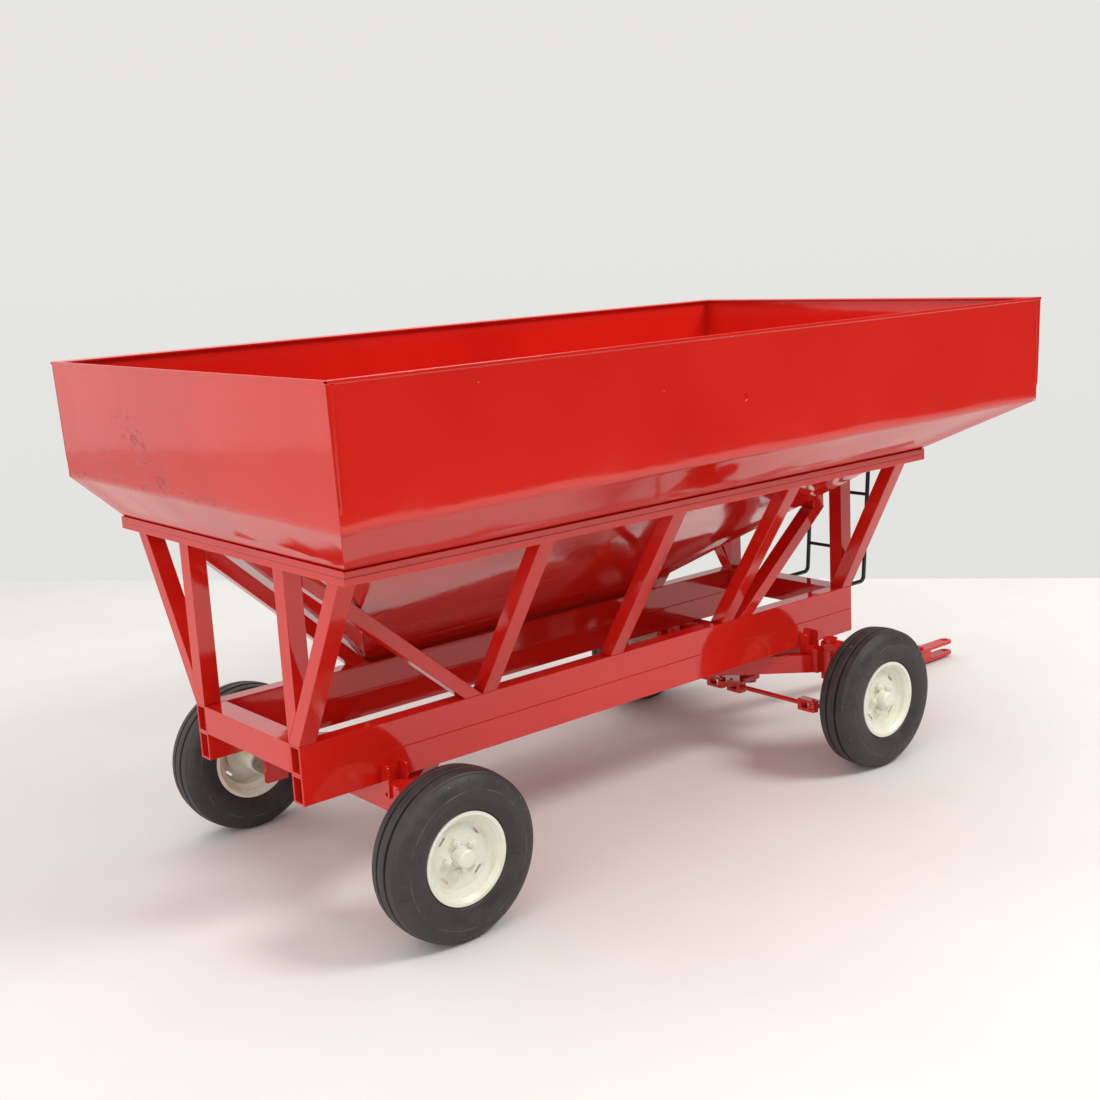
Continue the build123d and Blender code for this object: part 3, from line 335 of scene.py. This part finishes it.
def cream_enamel(f):
    """Cream gloss paint over a turned rim: thin yellowed patches, brush ripple and grime specks."""
    where = f.place()
    aged = f.ramp(f.noise(where, 55.0, 4.0, 0.6), 0.42, 0.72)
    fine = f.noise(where, 700.0, 2.0)
    grime = f.specks(where, 210.0, 0.00030, 0.07)
    colour = f.tint(aged * 0.75, (0.78, 0.80, 0.70, 1.0), (0.72, 0.70, 0.50, 1.0))
    colour = f.tint(grime * 0.8, colour, (0.16, 0.12, 0.08, 1.0))
    return {
        "Base Color": colour,
        "Roughness": 0.27 + 0.14 * aged + 0.3 * grime,
        "IOR": 1.5,
        "Normal": f.bump(fine * 0.35 + aged * 0.8, 0.00009, 0.8),
    }


def black_enamel(f):
    """Black gloss paint on bent rod, a little grey where it is rubbed."""
    where = f.place()
    rub = f.ramp(f.noise(where, 130.0, 4.0, 0.6), 0.55, 0.75)
    return {
        "Base Color": f.tint(rub * 0.6, (0.010, 0.010, 0.011, 1.0), (0.045, 0.042, 0.042, 1.0)),
        "Roughness": 0.22 + 0.25 * rub,
        "IOR": 1.5,
        "Normal": f.bump(f.noise(where, 600.0, 2.0), 0.00005, 0.7),
    }


def plain_steel(f):
    """Turned bright steel with fine rings along its length and dull patches."""
    where = f.place()
    dull = f.ramp(f.noise(where, 160.0, 4.0, 0.6), 0.40, 0.70)
    rings = f.noise(f.place((1.0, 2600.0, 1.0)), 1.0, 2.0)
    return {
        "Base Color": f.tint(dull, (0.60, 0.59, 0.57, 1.0), (0.40, 0.38, 0.36, 1.0)),
        "Metallic": 1.0,
        "Roughness": 0.24 + 0.22 * dull,
        "Normal": f.bump(rings, 0.00002, 0.6),
    }


def tyre_rubber(f):
    """Moulded rubber: grey-black with brown bloom, fine radial grooves by the rim whose darker colour is painted
    shade, crumbs and pale dust.
    """
    own = f.node("ShaderNodeUVMap", {"uv_map": "turn_and_radius"})
    turn = f.node("ShaderNodeSeparateXYZ", inputs={0: own}, output="X")
    radius = f.node("ShaderNodeSeparateXYZ", inputs={0: own}, output="Y")
    where = f.place()
    bloom = f.ramp(f.noise(where, 70.0, 4.0, 0.6), 0.40, 0.70)
    grain = f.noise(where, 1300.0, 3.0, 0.6)
    dust = f.specks(where, 170.0, 0.00045, 0.22)
    crumbs = f.specks(where, 60.0, 0.00085, 0.16)
    inner = f.ramp(radius, 0.555, 0.575) * (1.0 - f.ramp(radius, 0.69, 0.72))
    fine = f.node("ShaderNodeMath", {"operation": "SINE"}, {0: turn * (2.0 * np.pi * 168.0)})
    uneven = f.ramp(f.noise(where, 120.0, 2.0), 0.40, 0.60)
    lines = f.ramp(fine, 0.0, 0.7) * inner * (0.35 + 0.65 * uneven)
    ring = 1.0 - f.ramp(abs(radius - RING_RADIUS / TYRE_RADIUS), 0.003, 0.009)
    colour = f.tint(bloom, (0.030, 0.029, 0.029, 1.0), (0.050, 0.043, 0.040, 1.0))
    # painted shade: the fine radial grooves are darkened in colour as well as cut by the bump
    colour = f.tint(lines * 0.8, colour, (0.010, 0.010, 0.010, 1.0))
    colour = f.tint(ring * 0.45 * uneven, colour, (0.15, 0.13, 0.10, 1.0))
    colour = f.tint(dust * 0.75, colour, (0.36, 0.33, 0.29, 1.0))
    colour = f.tint(crumbs * 0.8, colour, (0.48, 0.42, 0.34, 1.0))
    return {
        "Base Color": colour,
        "Roughness": 0.50 + 0.18 * bloom - 0.05 * lines,
        "IOR": 1.48,
        "Normal": f.bump(grain * 0.3 + crumbs * 1.5 + dust * 0.8 - lines * 1.4, 0.00012, 0.9),
    }


red = make_finish("red_enamel", red_enamel())
red_scuffed = make_finish("red_enamel_scuffed", red_enamel(scuffed=True))
red_painted_shade_line = make_finish("red_enamel_painted_shade_line", red_enamel(seam=RAIL_TOP - RAIL_LIP))
cream = make_finish("cream_enamel", cream_enamel)
black = make_finish("black_enamel", black_enamel)
steel = make_finish("plain_steel", plain_steel)
rubber = make_finish("tyre_rubber", tyre_rubber)

# ------------------------------------------------------------------ sheets of the box and the hopper
SIDES = {  # which columns of a row give the two corners of a side, as (x, y) pairs
    "right": ((0, 2), (1, 2)),
    "front": ((1, 2), (1, 3)),
    "left": ((1, 3), (0, 3)),
    "rear": ((0, 3), (0, 2)),
}
MIDDLE = ((RIM[0] + RIM[1]) / 2, 0.0, 0.30)


def row(rect, height, inset=0.0, inset_side=None):
    """A level rectangle as one profile row: rear x, front x, right y, left y, z."""
    side = inset if inset_side is None else inset_side
    return [rect[0] + inset, rect[1] - inset, rect[2] + side, rect[3] - side, height]


def corner_lines(rows, side):
    """The two lines of corners that a side's sheet spans, as arrays of points."""
    return [np.stack([rows[:, x], rows[:, y], rows[:, 4]], -1) for x, y in SIDES[side]]


def sheet_points(rows, side, columns):
    """Points across a side: each row runs straight from one corner line to the other at the given shares."""
    start, end = corner_lines(rows, side)
    share = columns[None, :, None]
    return start[:, None] * (1.0 - share) + end[:, None] * share


def inward(points):
    """Unit vectors from the surface towards the middle of the box, from the grid's own slopes."""
    facing = np.cross(np.gradient(points, axis=0), np.gradient(points, axis=1))
    facing /= np.maximum(np.linalg.norm(facing, axis=-1, keepdims=True), 1e-12)
    into = (facing * (np.asarray(MIDDLE) - points)).sum(-1, keepdims=True)
    return facing * np.sign(into)


def path_lengths(rows, side):
    """Distance down the profile, measured along one corner line."""
    line = corner_lines(rows, side)[0]
    return np.concatenate([[0.0], np.linalg.norm(np.diff(line, axis=0), axis=1).cumsum()])


box_keys = [
    row(RIM, RIM_TOP - RIM_DROP, RIM_FLANGE),
    row(RIM, RIM_TOP),
    row(RIM, RIM_TOP - HEM_DEPTH),
    row(RIM, RIM_TOP - HEM_DEPTH - 0.0004, HEM_SHOWS),
    row(RIM, FOLD_HEIGHT, WALL_LEAN_END + HEM_SHOWS, WALL_LEAN_SIDE + HEM_SHOWS),
    row(BAND, RAIL_TOP),
    row(THROAT, RAIL_TOP, SHEET),
]
box_rows = rounded_run(
    box_keys,
    [(0.12, 0.33), (0.12, 0.40), (0.40, 0.004), (0.036, 0.075), (0.02, 0.06)],
    [2, 2, 1, 30, 24, 4],
)


def box_sheet(side, seed):
    """Rim flange, hem, wall, rounded fold and slope band, dented inwards by ripples that die out at the corners.
    The wall is nearly flat; the slope band is drawn in by deeper, shorter waves that cross it."""
    rows, down = box_rows, path_lengths(box_rows, side)
    start, end = corner_lines(rows, side)
    length = np.linalg.norm(end[0] - start[0])
    columns = np.linspace(0.0, 1.0, int(length / 0.0034) + 1)
    if side == "right":
        x, z, radius = PEEP_HOLE
        near = radius * np.linspace(-1.7, 1.7, 27)
        columns = np.union1d(columns, (x + near - start[0, 0]) / (end[0, 0] - start[0, 0]))
        rows, down = with_rows(rows, down, np.interp(-(z + near), -rows[6:40, 4], down[6:40]))
    points = sheet_points(rows, side, columns)
    along = np.broadcast_to(columns[None] * length, points.shape[:2])
    deep = np.broadcast_to(down[:, None], points.shape[:2])
    height = points[..., 2]
    wall = 0.00050 * ripple(along, deep, 0.42, 0.13, seed) + 0.00005 * ripple(along, deep, 0.05, 0.02, seed + 1)
    slope = 0.00120 * ripple(along, deep, 0.17, 0.055, seed + 2, spread=0.4)
    dent = wall + (slope - wall) * smooth(FOLD_HEIGHT + 0.006 - height, 0.0, 0.012)
    fade = smooth(along, 0.0, 0.03) * smooth(length - along, 0.0, 0.03)
    fade = fade * smooth(RIM_TOP - HEM_DEPTH - 0.001 - height, 0.0, 0.012) * smooth(height - RAIL_TOP, 0.0, 0.007)
    points = points + inward(points) * (dent * fade)[..., None]
    quads = grid_quads(*points.shape[:2])
    if side == "right":
        points, quads = pierced(points.reshape(-1, 3), quads, PEEP_HOLE)
    finish = red_scuffed if side == "rear" else red
    name = f"box_sheet_{side}"
    piece = make_piece(name, points, quads, "wagon", finish, [f"box_{side}"], MIDDLE)
    thicken(piece, SHEET, 0.00018)


def pierced(points, quads, hole):
    """Drops quads that lie inside the hole and draws the near corners of the rest onto its circle."""
    x, z, radius = hole
    away = points[:, [0, 2]] - (x, z)
    reach = np.hypot(away[:, 0], away[:, 1])
    inside = reach < radius
    quads = quads[~inside[quads].all(1)]
    edge = np.zeros(len(points), bool)
    edge[quads.ravel()] = True
    edge &= inside
    points = points.copy()
    points[edge, 0] = x + away[edge, 0] * radius / reach[edge]
    points[edge, 2] = z + away[edge, 1] * radius / reach[edge]
    return points, quads


def hopper_sheet(side, seed):
    """Short upright lip and a long slope to the outlet, with soft ripples. The right sheet is two halves:
    the lower one lies one lap further in."""
    rows = rounded_run(
        [row(THROAT, RAIL_TOP), row(THROAT, LIP_FOOT), row(OUTLET, OUTLET_HEIGHT)], [(0.3, 0.012)], [3, 64]
    )
    down = path_lengths(rows, side)
    lap = down[-1] * LAP_SHARE
    if side == "right":
        rows, down = with_rows(rows, down, lap + np.linspace(-0.0012, 0.0012, 9))
    start, end = corner_lines(rows, side)
    length = np.linalg.norm(end[0] - start[0])
    columns = np.linspace(0.0, 1.0, int(length / 0.004) + 1)
    points = sheet_points(rows, side, columns)
    along = np.broadcast_to(columns[None] * length, points.shape[:2])
    deep = np.broadcast_to(down[:, None], points.shape[:2])
    dent = 0.0024 * ripple(along, deep, 0.28, 0.10, seed) + 0.0002 * ripple(along, deep, 0.10, 0.05, seed + 1)
    fade = smooth(along, 0.0, 0.035) * smooth(length - along, 0.0, 0.035)
    fade = fade * smooth(deep, 0.008, 0.035) * smooth(down[-1] - deep, 0.004, 0.03)
    dent = dent * fade
    if side == "right":
        dent = dent + 0.0006 * smooth(deep - lap, -0.0004, 0.0004) * smooth(down[-1] - deep, 0.0, 0.01)
    points = points + inward(points) * dent[..., None]
    quads = grid_quads(*points.shape[:2])
    name = f"hopper_sheet_{side}"
    piece = make_piece(name, points, quads, "wagon", red, [f"hopper_{side}"], MIDDLE)
    thicken(piece, SHEET, 0.00018)


for number, side_name in enumerate(("right", "rear", "front", "left")):
    box_sheet(side_name, 11 + 7 * number)
for number, side_name in enumerate(("right", "rear", "front")):
    hopper_sheet(side_name, 90 + 7 * number)


# ------------------------------------------------------------------ seams
def bead(name, line, radius, seed, sides=10):
    """A weld bead: a tube swept along a line, its radius swelling and shrinking at random and closing at
    both ends."""
    line = np.asarray(line, float)
    run = np.concatenate([[0.0], np.linalg.norm(np.diff(line, axis=0), axis=1).cumsum()])
    steps = np.linspace(0.0, run[-1], int(run[-1] / 0.0007) + 2)
    line = np.stack([np.interp(steps, run, line[:, k]) for k in range(3)], -1)
    ahead = np.gradient(line, axis=0)
    ahead /= np.linalg.norm(ahead, axis=1, keepdims=True)
    across = np.cross(ahead, (0.31, 0.17, 0.93))
    across /= np.linalg.norm(across, axis=1, keepdims=True)
    upward = np.cross(across, ahead)
    lumps = 0.62 + 0.38 * ripple(steps, np.zeros_like(steps), 0.012, 0.0022, seed, spread=0.2)
    size = radius * lumps * np.sqrt(np.clip(np.minimum(steps, run[-1] - steps) / 0.001, 0.0004, 1.0))
    angle = np.linspace(0.0, 2.0 * np.pi, sides, endpoint=False)
    ring = across[:, None] * np.cos(angle)[None, :, None] + upward[:, None] * np.sin(angle)[None, :, None]
    points = line[:, None] + ring * size[:, None, None]
    quads = grid_quads(len(steps), sides, ring_columns=True)
    return make_piece(name, points, quads, "wagon", red, centre=line.mean(0))


STRIP_TOP_WIDTH, STRIP_FOOT_WIDTH = 0.0060, 0.0020
STRIP_PROFILE = np.array(   # share of the strip's width, and height above the wall in millimetres
    [
        (0.00, 0.30), (0.05, 0.42), (0.10, 0.42), (0.13, 0.20), (0.15, -0.60), (0.20, -0.60), (0.22, -0.40),
        (0.25, -0.25), (0.45, 0.05), (0.68, 0.36), (0.78, 0.50), (0.86, 0.52), (0.93, 0.40), (0.98, 0.05),
        (1.00, -0.50),
    ]
)
SEAM_TUCK, SEAM_BEAD = 0.00022, 0.00042         # how far a corner weld is drawn in, and its radius


def corner_strip(name, end, hand):
    """The end sheet's edge lapped over the side wall, a thin strip that narrows downwards. Across it the height
    is level at the corner, drops into a seam, climbs steadily outwards and falls back round the free edge."""
    heights = box_rows[:, 4]
    rows = box_rows[(heights < RIM_TOP - HEM_DEPTH - 0.0006) & (heights > FOLD_HEIGHT + 0.010)]
    corner = np.stack([rows[:, 0 if end < 0 else 1], rows[:, 2 if hand < 0 else 3], rows[:, 4]], -1)
    share = np.linspace(0.0, 1.0, len(corner))[:, None]
    width = STRIP_TOP_WIDTH - (STRIP_TOP_WIDTH - STRIP_FOOT_WIDTH) * share**0.8
    across, rise = STRIP_PROFILE[:, 0][None, :], STRIP_PROFILE[:, 1][None, :]
    rise = rise / 1000.0 * (1.0 + 1.2 * share)
    points = np.repeat(corner[:, None], across.shape[1], 1)
    points[..., 0] -= end * width * across
    points[..., 1] += hand * rise * smooth(1.0 - share, 0.0, 0.06)
    quads = grid_quads(*points.shape[:2])
    return make_piece(name, points, quads, "wagon", red, centre=(0.0, 0.0, 0.33))


fold_corner = box_keys[4]
for end_name, end_sign, x_column in (("rear", -1, 0), ("front", 1, 1)):
    for hand_name, hand_sign, y_column in (("right", -1, 2), ("left", 1, 3)):
        tag = f"{end_name}_{hand_name}"
        corner_strip(f"corner_strip_{tag}", end_sign, hand_sign)
        tuck = np.array([-end_sign, -hand_sign, 0.0]) * SEAM_TUCK
        knuckle = np.array([fold_corner[x_column], fold_corner[y_column], FOLD_HEIGHT]) + tuck
        top = np.array([RIM[x_column], RIM[y_column], RIM_TOP - 0.0065]) + tuck * 4.0
        foot = np.array([BAND[x_column], BAND[y_column], RAIL_TOP + 0.0004]) + tuck
        bead(f"corner_weld_{tag}", [top, knuckle, foot], SEAM_BEAD, 300 + x_column * 10 + y_column)


# ------------------------------------------------------------------ tyres
tyre_half = rounded_run(
    np.array(
        [
            (57.00, 0.0), (56.95, 3.2), (53.8, 3.6), (53.8, 4.9), (56.7, 5.3), (55.9, 10.7), (54.7, 11.5),
            (54.5, 12.3), (52.9, 13.6), (50.4, 15.1), (47.2, 16.1), (43.5, 16.62), (39.6, 16.35), (36.0, 15.5),
            (33.4, 14.5), (32.0, 13.7), (31.4, 12.0), (29.3, 12.0), (27.6, 10.3), (27.6, 4.0),
        ]
    ) / 1000.0,
    [
        (0.16, 0.2), (0.2, 0.5), (0.5, 0.2), (0.2, 0.10), (0.12, 0.4), (0.4, 0.5), *[(0.5, 0.5)] * 8,
        (0.5, 0.4), (0.4, 0.1), (0.1, 0.2), (0.2, 0.1),
    ],
    [3, 2, 1, 2, 4, *[1] * 11, 2, 2, 2],
)


def tyre(name, node, body):
    """The outline, (radius, half width), turned about the axle. A raised ring line and thirty short radial
    grooves on the shoulder are added along the axle's direction, with columns bunched at each groove."""
    step = np.concatenate([[0.0], np.hypot(*np.diff(tyre_half, axis=0).T).cumsum()])
    side_rows = tyre_half[:, 0] < SIDE_STARTS
    ring_at = np.interp(-RING_RADIUS, -tyre_half[side_rows, 0], step[side_rows])
    half, step = with_rows(tyre_half, step, ring_at + np.linspace(-0.0007, 0.0007, 9))
    outline = np.concatenate([half[::-1], half[1:] * (1.0, -1.0)])
    radius, out = outline[:, 0], outline[:, 1]
    near = [-0.9, -0.5, -0.28, -0.12, 0.0, 0.12, 0.28, 0.5, 0.9]
    bunch = np.array([*near, 1.9, 3.0, 4.1, 5.2, 6.3, 7.4, 8.5]) / 52.0
    spacing = 2.0 * np.pi / SHOULDER_LINES
    centres = np.arange(SHOULDER_LINES) * spacing
    angle = (centres[:, None] + bunch[None, :] * min(1.0, spacing * 0.93 / (bunch[-1] - bunch[0]))).ravel()
    offset = np.tile(bunch, SHOULDER_LINES)
    side = np.sign(out) * (radius > 0.0325)
    ring = 0.00026 * np.exp(-(((radius - RING_RADIUS) / 0.00028) ** 2))
    window = smooth(radius, 0.0462, 0.0470) * (1.0 - smooth(radius, 0.0515, 0.0530))
    groove = 0.00032 * window[:, None] * np.exp(-((offset[None, :] / 0.0045) ** 2))
    out = out[:, None] + side[:, None] * (ring[:, None] - groove * (np.abs(outline[:, 1:]) > 0.011))
    low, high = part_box(node)
    centre = (low + high) / 2
    spin = np.stack([np.cos(angle), np.sin(angle)], -1)
    points = np.stack(
        [
            centre.x + radius[:, None] * spin[None, :, 0],
            centre.y + out,
            centre.z + radius[:, None] * spin[None, :, 1],
        ],
        -1,
    )
    rows, columns = points.shape[:2]
    quads = grid_quads(rows, columns, ring_rows=True, ring_columns=True)
    turns = np.append(angle, angle[0] + 2.0 * np.pi) / (2.0 * np.pi)
    r, c = quads[:, 0] // columns, quads[:, 0] % columns
    r2 = (r + 1) % rows
    u = np.stack([turns[c], turns[c + 1], turns[c + 1], turns[c]], -1)
    v = np.stack([radius[r], radius[r], radius[r2], radius[r2]], -1) / TYRE_RADIUS
    uv = np.stack([u, v], -1)
    return make_piece(name, points, quads, body, rubber, [node], centre, uv)


WHEELS = [f"{end}_{hand}" for end in ("rear", "front") for hand in ("right", "left")]
for place_name in WHEELS:
    tyre(f"ribbed_tyre_{place_name}", f"tyre_{place_name}", f"wheel_{place_name}")

# ------------------------------------------------------------------ finishes and broken edges of the CAD pieces
CREAM_PIECES = ("rim_", "hub_", "lug_nuts_")
STEEL_PIECES = ("pinion_shaft", "rear_spindles")
TUBES = ("sill_", "end_cross", "side_", "end_", "corner_posts", "diagonal_", "brace_", "hounds", "reach", "tongue")

for node_name, node in nodes.items():
    if node.hide_render:
        continue
    finish = red_painted_shade_line if node_name in ("side_rails", "end_rails") else red
    if node_name.startswith(CREAM_PIECES):
        finish = cream
    elif node_name in STEEL_PIECES:
        finish = steel
    elif node_name == "ladder":
        finish = black
    node.data.materials.clear()
    node.data.materials.append(finish)
    weld = node.modifiers.new("join_triangles", "WELD")
    weld.merge_threshold = 0.000002
    soften(node, 0.00045 if node_name.startswith(TUBES) else 0.00025)


# ------------------------------------------------------------------ studio
FLOOR_EDGE = ((-0.1177, 1.2347), (0.7934, 0.0530))   # two points of the line where the table meets the backdrop
FLOOR_NEAR = ((-2.2, -0.6), (-1.5, -1.28), (2.2, -1.28))   # near edge; further floor would show in the walls

edge_a, edge_b = (np.array(p) for p in FLOOR_EDGE)
run = (edge_b - edge_a) / np.linalg.norm(edge_b - edge_a)
far_a, far_b = edge_a - run * 1.6, edge_b + run * 1.6
floor_mesh = bpy.data.meshes.new("studio_floor")
FLOOR_OUTLINE = [far_b, far_a, *FLOOR_NEAR]
floor_mesh.from_pydata([(*corner, 0.0) for corner in FLOOR_OUTLINE], [], [tuple(range(len(FLOOR_OUTLINE)))])
floor = bpy.data.objects.new("studio_floor", floor_mesh)
bpy.context.scene.collection.objects.link(floor)


def pale_paper(f):
    """Matt off-white paper with faint broad creases."""
    where = f.place()
    crease = f.noise(where, 6.0, 5.0, 0.6)
    return {
        "Base Color": f.tint(f.ramp(crease, 0.35, 0.7), (0.755, 0.752, 0.738, 1.0), (0.73, 0.726, 0.712, 1.0)),
        "Roughness": 0.75,
        "Specular IOR Level": 0.2,
        "Normal": f.bump(crease, 0.004, 0.35),
    }


floor_mesh.materials.append(make_finish("pale_paper", pale_paper))

scene = bpy.context.scene
world = bpy.data.worlds.new("studio_world")
scene.world = world
world.use_nodes = True
air = Finish(world.node_tree)
toward = air.node("ShaderNodeTexCoord", output="Generated")
lift = air.node("ShaderNodeSeparateXYZ", inputs={0: toward}, output="Z")
window = air.node(
    "ShaderNodeVectorMath", {"operation": "DOT_PRODUCT"}, {0: toward, 1: (-0.70, 0.70, 0.15)}, output="Value"
)
# painted shade on the backdrop: what the camera sees directly is darker towards the bottom, as a wall gets less
# light near the floor
seen = air.tint(air.ramp(lift, -0.25, 0.15), (0.765, 0.768, 0.745, 1.0), (0.805, 0.797, 0.765, 1.0))
room = air.tint(air.ramp(window, -0.75, 0.45), (0.10, 0.095, 0.09, 1.0), (0.95, 0.94, 0.92, 1.0))
is_camera = air.node("ShaderNodeLightPath", output="Is Camera Ray")
light = air.node("ShaderNodeBackground", inputs={"Color": air.tint(is_camera, room, seen), "Strength": 1.0})
air.node("ShaderNodeOutputWorld", inputs={"Surface": light})


def softbox(name, spot, aim, width, height, power, colour=(1.0, 1.0, 1.0)):
    """A rectangular area light at spot, facing aim."""
    lamp = bpy.data.lights.new(name, "AREA")
    lamp.shape, lamp.size, lamp.size_y, lamp.energy, lamp.color = "RECTANGLE", width, height, power, colour
    holder = bpy.data.objects.new(name, lamp)
    holder.location = spot
    holder.rotation_euler = (Vector(aim) - Vector(spot)).to_track_quat("-Z", "Y").to_euler()
    scene.collection.objects.link(holder)


softbox("ceiling_softbox", (-0.1, 0.1, 1.9), (0.0, 0.0, 0.2), 2.8, 2.2, 18.0, (1.0, 0.985, 0.96))
softbox("key_softbox", (0.79, -1.40, 1.70), (0.0, -0.1, 0.25), 0.8, 0.6, 28.0, (1.0, 0.985, 0.96))
softbox("fill_softbox", (-1.7, -0.9, 1.1), (0.0, 0.0, 0.2), 1.2, 1.2, 9.0, (1.0, 0.99, 0.98))

# ------------------------------------------------------------------ camera
CAMERA_SPOT = (-0.8124, -0.8566, 0.4338)
HEADING, DIP, ROLL = np.radians([50.60, 11.87, -3.13])
look = np.array([np.cos(DIP) * np.cos(HEADING), np.cos(DIP) * np.sin(HEADING), -np.sin(DIP)])
level = np.array([np.sin(HEADING), -np.cos(HEADING), 0.0])
upright = np.cross(level, look)
camera_x = np.cos(ROLL) * level + np.sin(ROLL) * upright
camera_y = np.cos(ROLL) * upright - np.sin(ROLL) * level
camera_data = bpy.data.cameras.new("studio_camera")
camera_data.lens, camera_data.sensor_width = 47.93, 36.0
camera_data.clip_start, camera_data.clip_end = 0.02, 60.0
camera = bpy.data.objects.new("studio_camera", camera_data)
scene.collection.objects.link(camera)
axes = np.eye(4)
axes[:3, 0], axes[:3, 1], axes[:3, 2], axes[:3, 3] = camera_x, camera_y, -look, CAMERA_SPOT
camera.matrix_world = Matrix(axes.tolist())
scene.camera = camera
scene.view_settings.view_transform = "Standard"
